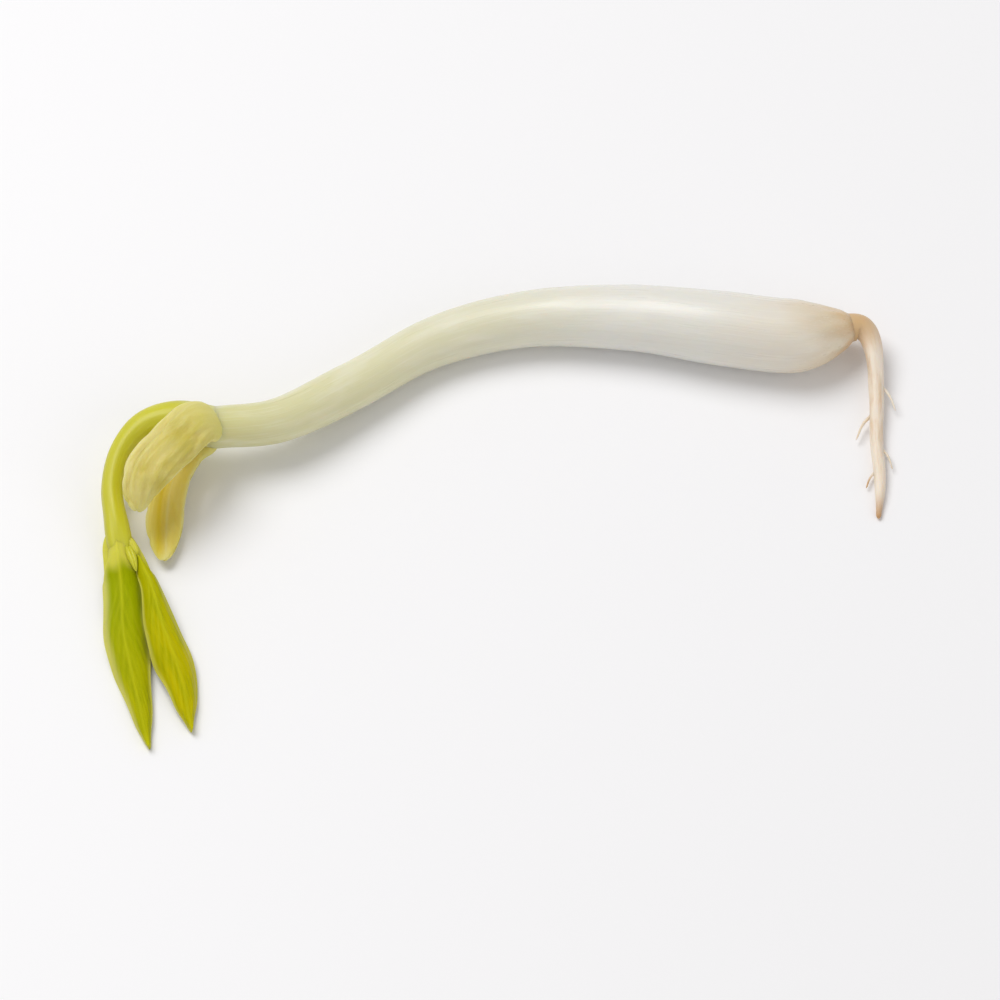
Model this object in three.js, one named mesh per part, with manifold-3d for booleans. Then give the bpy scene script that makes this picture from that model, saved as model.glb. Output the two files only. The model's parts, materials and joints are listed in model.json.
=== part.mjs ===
// A single mung bean sprout, lying on its side on a flat surface.
// Millimetres, +Z up. The root is at the +X end; the leaves are at the -X end and point to -Y.
// Each organ is drawn straight along +X, with its width along Y and its thickness along Z,
// and is then laid along its own route.

import * as THREE from 'three';
import { mergeVertices } from 'three/addons/utils/BufferGeometryUtils.js';
import Module from 'manifold-3d';

const wasm = await Module();
wasm.setup();

// ---- Driving dimensions -------------------------------------------------------------------------

const JOIN_GAP = 0.05; // left between two organs that grow from each other
const WELD = 1e-3; // vertices closer than this are one vertex
const FLOOR_BOX = 80; // side of the block that trims what would reach below the surface

// Hypocotyl, the thick white stem, from the collar above the root to the seed leaves.
const STEM_ROUTE = [
  [10.1, -0.1, 1.6],
  [6.9, -0.8, 1.82],
  [3.0, -0.3, 1.84],
  [-1.8, 0.5, 1.64],
  [-7.2, 0.55, 1.38],
  [-12.0, -0.85, 1.25],
  [-16.2, -3.75, 1.5],
  [-20.0, -6.3, 2.1],
  [-23.3, -7.0, 2.45],
];
const STEM_RADII = [1.92, 1.96, 1.98, 1.82, 1.66, 1.49, 1.38, 1.28, 1.29, 1.2, 1.14];
const STEM_SHOULDER = 0.1; // share of the length over which the base rounds down to the collar
const COLLAR_RADIUS = 0.78;
const STEM_OVAL = 0.03; // share by which the section is out of round
const STEM_RINGS = 64;
const STEM_SIDES = 24;

// Radicle, the thin root, with a few rootlets.
const ROOT_ROUTE = [
  [9.7, -0.15, 1.6],
  [10.6, -0.15, 1.52],
  [11.15, -1.2, 1.2],
  [11.3, -3.4, 0.75],
  [11.25, -6.3, 0.42],
  [11.4, -8.9, 0.3],
  [11.25, -11.2, 0.16],
];
const ROOT_RADII = [COLLAR_RADIUS, 0.56, 0.45, 0.41, 0.39, 0.36, 0.3, 0.17];
const ROOT_RINGS = 40;
const ROOT_SIDES = 12;
const ROOTLET_RINGS = 7;
const ROOTLET_SIDES = 6;
const ROOTLET_TAPER = 0.6; // share of its radius that a rootlet loses by its end
// Each rootlet: how far down the root it grows, its end from there, its bend and its radius.
const ROOTLETS = [
  { at: 0.33, reach: [1.0, -1.6, -0.35], bend: [0.3, 0.15, 0.05], radius: 0.1 },
  { at: 0.47, reach: [-1.1, -1.7, -0.2], bend: [-0.3, 0.2, 0.05], radius: 0.11 },
  { at: 0.63, reach: [0.8, -1.5, -0.1], bend: [0.3, 0.1, 0.05], radius: 0.09 },
  { at: 0.75, reach: [-0.7, -1.2, -0.08], bend: [-0.25, 0.1, 0], radius: 0.09 },
];

// Epicotyl, the green stem that turns through the hook and carries the leaves.
const SHOOT_ROUTE = [
  [-23.35, -7.0, 2.45],
  [-25.4, -6.6, 2.55],
  [-27.1, -6.95, 2.4],
  [-28.3, -8.3, 2.05],
  [-28.75, -10.2, 1.65],
  [-28.5, -12.2, 1.3],
  [-28.2, -13.9, 1.05],
];
const SHOOT_RADII = [1.12, 1.06, 0.86, 0.66, 0.59, 0.62, 0.7];
const SHOOT_FLATTEN = 0.2; // share by which the leaf end is wider and thinner than round
const SHOOT_RINGS = 36;
const SHOOT_SIDES = 18;

// Cotyledons, the two shrivelled seed leaves: fleshy, ridged outside, channelled inside.
const COTYLEDON_RINGS = 22;
const COTYLEDON_SIDES = 28;
const COTYLEDON_ROUNDING = 0.35; // share of the length over which the free end rounds off
const COTYLEDON_RIDGES = 6;
const RIDGE_HEIGHT = 0.045; // share of the section
const INNER_DEPTH = 0.5; // depth of the channelled side, as a share of the ridged side
const CHANNEL_DEPTH = 0.85; // share of the inner depth
const CHANNEL_WIDTH = 0.4; // share of the half width
const UPPER_COTYLEDON = {
  points: [
    [-23.6, -7.12, 3.2],
    [-24.45, -7.7, 3.82],
    [-25.6, -9.1, 3.97],
    [-26.75, -10.5, 3.82],
    [-27.25, -11.65, 3.45],
    [-27.3, -12.6, 2.95],
  ],
  halfWidths: [1.25, 1.42, 1.44, 1.36, 1.18, 1.0],
  halfThickness: 0.6, // share of the half width
  channelCentre: 0, // share of the half width
  roll: 0,
};
const LOWER_COTYLEDON = {
  points: [
    [-23.5, -7.3, 1.6],
    [-24.75, -7.75, 1.1],
    [-25.6, -9.1, 0.88],
    [-25.98, -11.1, 0.8],
    [-26.02, -14.15, 0.68],
  ],
  halfWidths: [0.6, 0.82, 0.94, 1.0, 1.0, 0.9],
  halfThickness: 0.68,
  channelCentre: 0.25,
  roll: Math.PI,
};

// First two leaves, still half folded, with a raised midrib on the upper face.
const LEAF_THICKNESS = 0.6;
const PETIOLE_THICKNESS = 0.95;
const PETIOLE_LENGTH = 0.2; // share of the leaf
const LEAF_STEPS = 30;
const LEAF_STRIPS = 10;
const LEAF_WAVES = 3.5; // waves along each edge
const LEAF_WAVE_HEIGHT = 0.09; // share of the half width
const MIDRIB_HEIGHT = 0.14;
const MIDRIB_WIDTH = 0.2;
const LEFT_LEAF = {
  points: [
    [-28.36, -13.95, 1.02],
    [-28.13, -16.4, 0.95],
    [-27.99, -18.7, 0.86],
    [-27.36, -21.8, 0.64],
    [-26.6, -25.3, 0.36],
  ],
  halfWidths: [0.85, 0.96, 1.0, 1.06, 0.97, 0.7, 0.44, 0.1],
  camber: 0.36,
  roll: 0.12,
};
const RIGHT_LEAF = {
  points: [
    [-27.5, -13.95, 1.1],
    [-26.72, -15.7, 1.2],
    [-25.95, -18.5, 1.15],
    [-25.06, -21.2, 0.88],
    [-24.4, -24.3, 0.4],
  ],
  halfWidths: [0.4, 0.42, 0.6, 0.82, 0.97, 0.85, 0.55, 0.1],
  camber: 0.4,
  roll: -0.14,
};

// Terminal bud, the next leaves, still shut, in the fork of the first two.
const BUD_ROUTE = [
  [-27.83, -13.75, 1.4],
  [-27.58, -14.5, 1.55],
  [-27.4, -15.2, 1.52],
];
const BUD_RADII = [0.24, 0.27, 0.23, 0.15, 0.05];
const BUD_RINGS = 10;
const BUD_SIDES = 12;

const MATERIALS = {
  white_flesh: { color: 0xe4e0d2, roughness: 0.35, metalness: 0 },
  root_skin: { color: 0xdcc09a, roughness: 0.6, metalness: 0 },
  seed_leaf: { color: 0xcfc074, roughness: 0.45, metalness: 0 },
  young_green: { color: 0xc4c050, roughness: 0.4, metalness: 0 },
  leaf_green: { color: 0xa7ad12, roughness: 0.45, metalness: 0 },
};

// ---- Helpers ------------------------------------------------------------------------------------

const { clamp, lerp, smoothstep } = THREE.MathUtils;

const route = (points) =>
  new THREE.CatmullRomCurve3(points.map((p) => new THREE.Vector3(...p)), false, 'catmullrom', 0.5);

// A smooth curve through evenly spaced values, read at 0 to 1.
function profile(values) {
  const last = values.length - 1;
  const curve = new THREE.SplineCurve(values.map((v, i) => new THREE.Vector2(i / last, v)));
  return (share) => curve.getPoint(clamp(share, 0, 1)).y;
}

// A closed cylinder of radius 1 from 0 to 1 along +X, its rings closer together towards 1 when
// `crowding` is over 1.
function unitTube(rings, sides, crowding = 1) {
  const outline = [new THREE.Vector2(0, 0)];
  for (let i = 0; i <= rings; i += 1) {
    outline.push(new THREE.Vector2(1, 1 - (1 - i / rings) ** crowding));
  }
  outline.push(new THREE.Vector2(0, 1));
  return new THREE.LatheGeometry(outline, sides).rotateZ(-Math.PI / 2);
}

// Lays a straight shape, 0 to 1 along +X, on a curve. The section is given across and up, in
// millimetres, by a function of the share along and the shape's own Y and Z.
function layAlong(geometry, curve, section, roll = 0) {
  const up = new THREE.Vector3(0, 0, 1);
  const position = geometry.getAttribute('position');
  for (let i = 0; i < position.count; i += 1) {
    const share = clamp(position.getX(i), 0, 1);
    const [across, height] = section(share, position.getY(i), position.getZ(i));
    const tangent = curve.getTangentAt(share);
    const side = new THREE.Vector3().crossVectors(up, tangent).normalize();
    const normal = new THREE.Vector3().crossVectors(tangent, side);
    side.applyAxisAngle(tangent, roll);
    normal.applyAxisAngle(tangent, roll);
    const point = curve.getPointAt(share).addScaledVector(side, across).addScaledVector(normal, height);
    position.setXYZ(i, point.x, point.y, point.z);
  }
  return solidOf(geometry);
}

function solidOf(geometry) {
  geometry.deleteAttribute('normal');
  geometry.deleteAttribute('uv');
  const merged = mergeVertices(geometry, WELD);
  const mesh = new wasm.Mesh({
    numProp: 3,
    vertProperties: merged.getAttribute('position').array,
    triVerts: new Uint32Array(merged.index.array),
  });
  return new wasm.Manifold(mesh);
}

function geometryOf(solid) {
  const { vertProperties, triVerts } = solid.getMesh();
  const geometry = new THREE.BufferGeometry();
  geometry.setAttribute('position', new THREE.BufferAttribute(vertProperties, 3));
  geometry.setIndex(new THREE.BufferAttribute(triVerts, 1));
  geometry.computeVertexNormals();
  return geometry;
}

// ---- Organs -------------------------------------------------------------------------------------

// An organ takes `grown` to become the cutter that keeps its neighbours clear of it.

function hypocotyl(grown = 0) {
  const body = profile(STEM_RADII);
  const section = (share, y, z) => {
    const rise = Math.sin((Math.min(1, share / STEM_SHOULDER) * Math.PI) / 2);
    const radius = lerp(COLLAR_RADIUS, body(share), rise) + grown;
    return [y * radius * (1 + STEM_OVAL), z * radius * (1 - STEM_OVAL)];
  };
  return layAlong(unitTube(STEM_RINGS, STEM_SIDES), route(STEM_ROUTE), section);
}

function rootlet(parent, { at, reach, bend, radius }) {
  const start = parent.getPointAt(at);
  const end = start.clone().add(new THREE.Vector3(...reach));
  const middle = start.clone().lerp(end, 0.5).add(new THREE.Vector3(...bend));
  const path = new THREE.QuadraticBezierCurve3(start, middle, end);
  const section = (share, y, z) => {
    const thin = radius * (1 - ROOTLET_TAPER * share);
    return [y * thin, z * thin];
  };
  return layAlong(unitTube(ROOTLET_RINGS, ROOTLET_SIDES), path, section);
}

function radicle() {
  const curve = route(ROOT_ROUTE);
  const radius = profile(ROOT_RADII);
  const section = (share, y, z) => [y * radius(share), z * radius(share)];
  const taproot = layAlong(unitTube(ROOT_RINGS, ROOT_SIDES), curve, section);
  return ROOTLETS.reduce((solid, branch) => solid.add(rootlet(curve, branch)), taproot);
}

function epicotyl(grown = 0) {
  const body = profile(SHOOT_RADII);
  const section = (share, y, z) => {
    const radius = body(share) + grown;
    const flat = SHOOT_FLATTEN * smoothstep(share, 0.75, 1);
    return [y * radius * (1 + flat), z * radius * (1 - flat)];
  };
  return layAlong(unitTube(SHOOT_RINGS, SHOOT_SIDES), route(SHOOT_ROUTE), section);
}

function cotyledon({ points, halfWidths, halfThickness, channelCentre, roll }) {
  const widthAt = profile(halfWidths);
  const section = (share, y, z) => {
    const tip = Math.max(0, share - 1 + COTYLEDON_ROUNDING) / COTYLEDON_ROUNDING;
    const width = widthAt(share) * Math.sqrt(Math.max(0, 1 - tip ** 2));
    const angle = Math.atan2(z, y);
    const ridge = 1 + RIDGE_HEIGHT * Math.cos(2 * COTYLEDON_RIDGES * angle) * Math.max(0, z);
    const channel = z < 0 ? CHANNEL_DEPTH * Math.exp(-(((y - channelCentre) / CHANNEL_WIDTH) ** 2)) : 0;
    const depth = z < 0 ? z * INNER_DEPTH * (1 - channel) : z;
    return [y * width * ridge, depth * width * halfThickness * ridge];
  };
  return layAlong(unitTube(COTYLEDON_RINGS, COTYLEDON_SIDES, 2), route(points), section, roll);
}

function leaf({ points, halfWidths, camber, roll }, grown = 0) {
  const widthAt = profile(halfWidths);
  const blade = new THREE.BoxGeometry(1, 2, 2, LEAF_STEPS, LEAF_STRIPS, 1).translate(0.5, 0, 0);
  const section = (share, y, z) => {
    const width = widthAt(share) + grown;
    const across = y * width;
    const petiole = 1 - smoothstep(share, 0, PETIOLE_LENGTH);
    const thickness = lerp(LEAF_THICKNESS, PETIOLE_THICKNESS, petiole) / 2 + grown;
    const wave = LEAF_WAVE_HEIGHT * Math.sin(2 * Math.PI * LEAF_WAVES * share) * y * Math.abs(y);
    const rib = MIDRIB_HEIGHT * Math.exp(-((across / MIDRIB_WIDTH) ** 2)) * (1 - 0.6 * share);
    const height = z * thickness - camber * across ** 2 + wave * width + Math.max(0, z) * rib;
    return [across, height];
  };
  return layAlong(blade, route(points), section, roll);
}

function terminalBud() {
  const radius = profile(BUD_RADII);
  const section = (share, y, z) => [y * radius(share), z * radius(share)];
  return layAlong(unitTube(BUD_RINGS, BUD_SIDES), route(BUD_ROUTE), section);
}

// ---- The sprout ---------------------------------------------------------------------------------

const sprout = new THREE.Group();

function addNode(name, solid, material) {
  const mesh = new THREE.Mesh(geometryOf(solid), new THREE.MeshStandardMaterial(MATERIALS[material]));
  mesh.name = name;
  sprout.add(mesh);
}

const belowFloor = solidOf(
  new THREE.BoxGeometry(FLOOR_BOX, FLOOR_BOX, FLOOR_BOX).translate(0, 0, -FLOOR_BOX / 2)
);
const aroundStem = hypocotyl(JOIN_GAP);
const aroundAxis = aroundStem.add(epicotyl(JOIN_GAP));
const aroundRightLeaf = leaf(RIGHT_LEAF, JOIN_GAP);
const aroundLeaves = leaf(LEFT_LEAF, JOIN_GAP).add(aroundRightLeaf);
const leftLeaf = leaf(LEFT_LEAF).subtract(aroundAxis).subtract(aroundRightLeaf);
const lowerCotyledon = cotyledon(LOWER_COTYLEDON).subtract(aroundAxis);

addNode('hypocotyl', hypocotyl().subtract(belowFloor), 'white_flesh');
addNode('radicle', radicle().subtract(aroundStem).subtract(belowFloor), 'root_skin');
addNode('epicotyl', epicotyl().subtract(aroundStem), 'young_green');
addNode('cotyledon_upper', cotyledon(UPPER_COTYLEDON).subtract(aroundAxis), 'seed_leaf');
addNode('cotyledon_lower', lowerCotyledon.subtract(belowFloor), 'seed_leaf');
addNode('leaf_left', leftLeaf.subtract(belowFloor), 'leaf_green');
addNode('leaf_right', leaf(RIGHT_LEAF).subtract(aroundAxis).subtract(belowFloor), 'leaf_green');
addNode('terminal_bud', terminalBud().subtract(aroundAxis).subtract(aroundLeaves), 'young_green');

// The origin goes to the middle of the sprout's box, on the surface it lies on.
const box = new THREE.Box3().setFromObject(sprout);
sprout.position.set(-(box.min.x + box.max.x) / 2, -(box.min.y + box.max.y) / 2, -box.min.z);

export default sprout;
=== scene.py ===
# A single mung bean sprout lying on its side, dressed round its solids.
# Metres, +Z up. Routes and radii are given in millimetres in a drawing frame, whose origin is on
# the surface under the thick stem. Each organ is drawn straight along +X, with its width along Y
# and its thickness along Z, gets its relief there, and is then laid along its own route.

import json
import math
from contextlib import contextmanager

import bmesh
import bpy
from bpy.props import FloatProperty, FloatVectorProperty, IntProperty, PointerProperty
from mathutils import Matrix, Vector, noise


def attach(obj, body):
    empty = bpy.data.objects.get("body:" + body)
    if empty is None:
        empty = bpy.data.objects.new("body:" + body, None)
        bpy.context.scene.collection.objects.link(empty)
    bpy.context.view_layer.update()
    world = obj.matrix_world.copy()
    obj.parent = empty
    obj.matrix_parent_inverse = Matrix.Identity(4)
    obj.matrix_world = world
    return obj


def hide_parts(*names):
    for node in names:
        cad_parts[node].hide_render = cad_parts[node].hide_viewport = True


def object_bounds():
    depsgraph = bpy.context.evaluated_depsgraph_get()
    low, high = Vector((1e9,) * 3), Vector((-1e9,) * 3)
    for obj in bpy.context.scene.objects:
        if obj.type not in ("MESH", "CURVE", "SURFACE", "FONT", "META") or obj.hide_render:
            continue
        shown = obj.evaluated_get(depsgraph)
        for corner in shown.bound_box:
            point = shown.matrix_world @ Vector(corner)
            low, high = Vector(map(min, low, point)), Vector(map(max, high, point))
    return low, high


bl_info = {
    "name": "Mung bean sprout",
    "version": (1, 0, 0),
    "blender": (4, 5, 0),
    "location": "3D View > Sidebar > Sprout",
    "description": "Grows a mung bean sprout organ by organ and lays it on a pale table",
    "category": "Add Mesh",
}

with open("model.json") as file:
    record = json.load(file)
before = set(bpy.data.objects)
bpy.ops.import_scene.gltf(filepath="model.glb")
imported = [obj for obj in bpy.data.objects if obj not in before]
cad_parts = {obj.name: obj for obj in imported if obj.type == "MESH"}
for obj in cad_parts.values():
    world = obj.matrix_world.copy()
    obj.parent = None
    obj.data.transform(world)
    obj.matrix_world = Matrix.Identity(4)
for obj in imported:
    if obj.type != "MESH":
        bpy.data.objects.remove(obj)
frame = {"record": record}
SOLIDS_LOW, SOLIDS_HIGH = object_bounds()

# ---- Drawing frame and routes, in millimetres ----------------------------------------------------

MM = 0.001
REST_POINT = Vector((0.0, 0.25, 0.0))  # the record's mount point, in the drawing frame
DRAWING_ORIGIN = Vector(frame["record"]["mounts"][0]["pos_m"]) - REST_POINT * MM

# An organ's ENDS are where it starts, over what stretch it rounds up, where it ends and over what
# stretch it rounds down, in shares of its length. What lies below 0 or beyond 1 is sunk in the
# organ that it grows from or carries. Its MESH is its sides, or a leaf's strips across, and its
# steps along. A width with no note is in millimetres.

STEM_ROUTE = (
    (10.1, -0.1, 1.6),
    (6.9, -0.8, 1.82),
    (3.0, -0.3, 1.84),
    (-1.8, 0.5, 1.64),
    (-7.2, 0.55, 1.38),
    (-12.0, -0.85, 1.25),
    (-16.2, -3.75, 1.5),
    (-20.0, -6.3, 2.1),
    (-23.3, -7.0, 2.45),
)
STEM_RADII = (1.92, 1.96, 1.98, 1.82, 1.66, 1.49, 1.38, 1.28, 1.29, 1.2, 1.14)
STEM_ENDS = (-0.014, 0.032, 1.035, 0.035)
STEM_STEPS = 220
STEM_SHOULDER = 0.1  # share of the length over which the base rounds down to the collar
STEM_OVAL = 0.03  # share by which the section is out of round
COLLAR_RADIUS = 0.78
COLLAR_FOLDS = 9  # folds round the collar
LEAST_SIZE = 0.004  # half size of an organ's closed ends

ROOT_ROUTE = (
    (9.7, -0.15, 1.6),
    (10.6, -0.15, 1.52),
    (11.15, -1.2, 1.2),
    (11.3, -3.4, 0.75),
    (11.25, -6.3, 0.42),
    (11.4, -8.9, 0.3),
    (11.25, -11.2, 0.16),
)
ROOT_RADII = (COLLAR_RADIUS, 0.56, 0.45, 0.41, 0.39, 0.36, 0.3, 0.17)
ROOT_ENDS = (0.0, 0.001, 1.0, 0.02)
ROOT_MESH = (32, 130)

# Each rootlet: how far down the root it grows, its end from there, its bend and its radius.
ROOTLETS = (
    (0.33, (1.0, -1.6, -0.35), (0.3, 0.15, 0.05), 0.1),
    (0.47, (-1.1, -1.7, -0.2), (-0.3, 0.2, 0.05), 0.11),
    (0.63, (0.8, -1.5, -0.1), (0.3, 0.1, 0.05), 0.09),
    (0.75, (-0.7, -1.2, -0.08), (-0.25, 0.1, 0.0), 0.09),
)
ROOTLET_ENDS = (0.0, 0.001, 1.0, 0.08)
ROOTLET_MESH = (14, 24)
ROOTLET_TAPER = 0.6  # share of its radius that a rootlet loses by its end
ROOTLET_BROWNING = 0.3  # how much further down the root its end looks, as a share of the root

SHOOT_ROUTE = (
    (-23.35, -7.0, 2.45),
    (-25.4, -6.6, 2.55),
    (-27.1, -6.95, 2.4),
    (-28.3, -8.3, 2.05),
    (-28.75, -10.2, 1.65),
    (-28.5, -12.2, 1.3),
    (-28.2, -13.9, 1.05),
)
SHOOT_RADII = (1.12, 1.06, 0.86, 0.66, 0.59, 0.62, 0.7)
SHOOT_ENDS = (-0.06, 0.06, 1.06, 0.24)
SHOOT_MESH = (48, 120)
SHOOT_FLATTEN = 0.2  # share by which the leaf end is wider than round
SHOOT_THINNING = 0.35  # share by which the leaf end is thinner than round, between the petioles
SHOOT_RIBS = 7
FORK_WIDTH = 0.2  # half the groove's width

# Each seed leaf. Its half thickness and its channel's place are shares of the half width, and
# rim is the side, 1 or -1, that has the fold.
UPPER_SEED_LEAF = {
    "name": "upper_seed_leaf",
    "node": "cotyledon_upper",
    "route": (
        (-23.6, -7.12, 3.2),
        (-24.45, -7.7, 3.82),
        (-25.6, -9.1, 3.97),
        (-26.75, -10.5, 3.82),
        (-27.25, -11.65, 3.45),
        (-27.3, -12.6, 2.95),
    ),
    "half_widths": (1.25, 1.42, 1.44, 1.36, 1.18, 1.0),
    "half_thickness": 0.6,
    "channel": 0.0,
    "roll": 0.0,
    "rim": -1,
    "seed": 3.0,
}
LOWER_SEED_LEAF = {
    "name": "lower_seed_leaf",
    "node": "cotyledon_lower",
    "route": (
        (-23.5, -7.3, 1.6),
        (-24.75, -7.75, 1.1),
        (-25.6, -9.1, 0.88),
        (-25.98, -11.1, 0.8),
        (-26.02, -14.15, 0.68),
    ),
    "half_widths": (0.6, 0.82, 0.94, 1.0, 1.0, 0.9),
    "half_thickness": 0.68,
    "channel": 0.25,
    "roll": math.pi,
    "rim": 1,
    "seed": 11.0,
}
SEED_LEAF_ENDS = (-0.03, 0.08, 1.0, 0.35)
SEED_LEAF_MESH = (96, 140)
SEED_LEAF_INNER = 0.5  # depth of the channelled side, as a share of the ridged side
CHANNEL_DEPTH = 0.85  # share of the inner depth
CHANNEL_WIDTH = 0.4  # share of the half width
CHANNEL_SHADE = 0.26  # width of the painted shade, olive, in the channel, in half widths
CHANNEL_LINE_AT = 0.37  # how far the pale line runs beside the channel, in half widths
CHANNEL_LINE_WIDTH = 0.07
SEED_LEAF_RIDGES = 12  # all round, although only the outer side has them
RIM_FOLD_AT = 0.62  # in half widths from the middle
RIM_FOLD_WIDTH = 0.16  # share of the half width

# Each leaf. Outer is its side, 1 or -1, away from the other leaf, the pair after it is how much rim
# light is painted on its outer and inner edges, the inner one also lifting the shade where the
# blade curls down, and blade_from is the share of its length where its stalk's colour ends.
LEFT_LEAF = {
    "name": "left_leaf",
    "node": "leaf_left",
    "route": (
        (-28.36, -13.95, 1.02),
        (-28.13, -16.4, 0.95),
        (-27.99, -18.7, 0.86),
        (-27.36, -21.8, 0.64),
        (-26.6, -25.3, 0.36),
    ),
    "half_widths": (0.85, 0.96, 1.0, 1.05, 0.94, 0.68, 0.44, 0.1),
    "camber": 0.36,
    "roll": 0.12,
    "outer": -1,
    "rim_lighting": (0.95, 0.6),
    "blade_from": 0.06,
    "yellowing": 0.0,
    "seed": 5.0,
}
RIGHT_LEAF = {
    "name": "right_leaf",
    "node": "leaf_right",
    "route": (
        (-27.5, -13.95, 1.1),
        (-26.72, -15.7, 1.2),
        (-25.95, -18.5, 1.15),
        (-25.06, -21.2, 0.88),
        (-24.4, -24.3, 0.4),
    ),
    "half_widths": (0.4, 0.42, 0.6, 0.82, 0.97, 0.85, 0.55, 0.1),
    "camber": 0.4,
    "roll": -0.14,
    "outer": 1,
    "rim_lighting": (0.3, 0.6),
    "blade_from": 0.02,
    "yellowing": 0.6,
    "seed": 8.0,
}
LEAF_ENDS = (-0.15, 0.13, 1.0, 0.03)
LEAF_MESH = (48, 180)
LEAF_TIP = 0.02  # half width of its closed ends
LEAF_UNDERSIDE = 0.3  # depth of a leaf's underside below its route
LEAF_LEAST = 0.03  # thinnest place, as a share of the petiole's thickness
PETIOLE_UNDERSIDE = 0.5
PETIOLE_LENGTH = 0.14  # share of the leaf
STALK_PALING = 0.45  # share of the shoot fibres' colour in the stalk
MIDRIB_WIDTH = 0.09
LEAF_WAVES = 3.5  # waves along each edge
LEAF_WAVE_HEIGHT = 0.09  # share of the half width
SIDE_VEINS = (0.08, 0.2, 0.32, 0.44, 0.56, 0.68)  # where they leave the midrib
SIDE_VEIN_SLOPE = 2.1  # half widths that a side vein crosses in a leaf's whole length
SIDE_VEIN_SHIFT = 0.03  # how much later they leave on one side
SIDE_VEIN_WIDTH = 0.07  # share of the half width

BUD_ROUTE = (
    (-27.83, -13.75, 1.22),
    (-27.58, -14.5, 1.32),
    (-27.4, -15.2, 1.3),
)
BUD_RADII = (0.24, 0.27, 0.23, 0.15, 0.05)
BUD_ENDS = (-0.1, 0.1, 1.0, 0.12)
BUD_MESH = (32, 40)
BUD_SEAM_WIDTH = 0.05

# Diameter and place of each light, in metres.
KEY_LIGHT = {"size": 0.28, "at": (-0.16, 0.14, 0.34)}
FILL_LIGHT = {"size": 0.3, "at": (0.24, -0.22, 0.18)}
CAMERA_CLIP = 0.01  # nearest that the camera sees, in metres


# ---- Sizes and colours ---------------------------------------------------------------------------


def linear(code):
    """A colour code such as e4e0d2 as linear red, green, blue and alpha."""
    parts = [int(code[i : i + 2], 16) / 255 for i in (0, 2, 4)]
    return [p / 12.92 if p <= 0.04045 else ((p + 0.055) / 1.055) ** 2.4 for p in parts] + [1.0]


def size_property(name, description, default):
    return FloatProperty(
        name=name,
        description=description,
        default=default,
        precision=6,
        subtype="DISTANCE",
        unit="LENGTH",
    )


def colour_property(name, description, code):
    return FloatVectorProperty(
        name=name,
        description=description,
        default=linear(code),
        size=4,
        min=0.0,
        max=1.0,
        subtype="COLOR",
    )


class SproutSizes(bpy.types.PropertyGroup):
    """Relief and thickness of the organs"""

    stem_swells: size_property("Stem swells", "How far the stem dips between swells", 0.00006)
    collar_folds: size_property("Collar folds", "Depth of the folds round the collar", 0.00009)
    root_folds: size_property("Root folds", "Depth of the folds in the root's skin", 0.00007)
    shoot_ribs: size_property("Shoot ribs", "Depth between the shoot's ribs", 0.00003)
    fork_depth: size_property("Fork depth", "Depth of the groove where the shoot forks", 0.00006)
    seed_ridges: size_property("Seed leaf ridges", "Depth between a seed leaf's ridges", 0.00006)
    seed_creases: size_property("Seed leaf creases", "Depth of a seed leaf's creases", 0.00007)
    rim_fold: size_property("Rim fold", "Depth of the fold inside a seed leaf's rim", 0.00014)
    petiole: size_property("Petiole thickness", "Thickness of a leaf where it starts", 0.0009)
    blade: size_property("Blade thickness", "Thickness of a leaf along its middle", 0.0004)
    margin: size_property("Margin thickness", "Thickness of a leaf along its edges", 0.00016)
    midrib: size_property("Midrib height", "How far a leaf's midrib stands up", 0.00006)
    veins: size_property("Vein height", "How far a leaf's side veins stand up", 0.000025)
    bud_seam: size_property("Bud seam", "Depth of the seam along the bud", 0.00006)
    stem_sides: IntProperty(
        name="Stem sides",
        description="Number of sides round the stem",
        default=72,
        min=12,
        max=128,
    )


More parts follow.
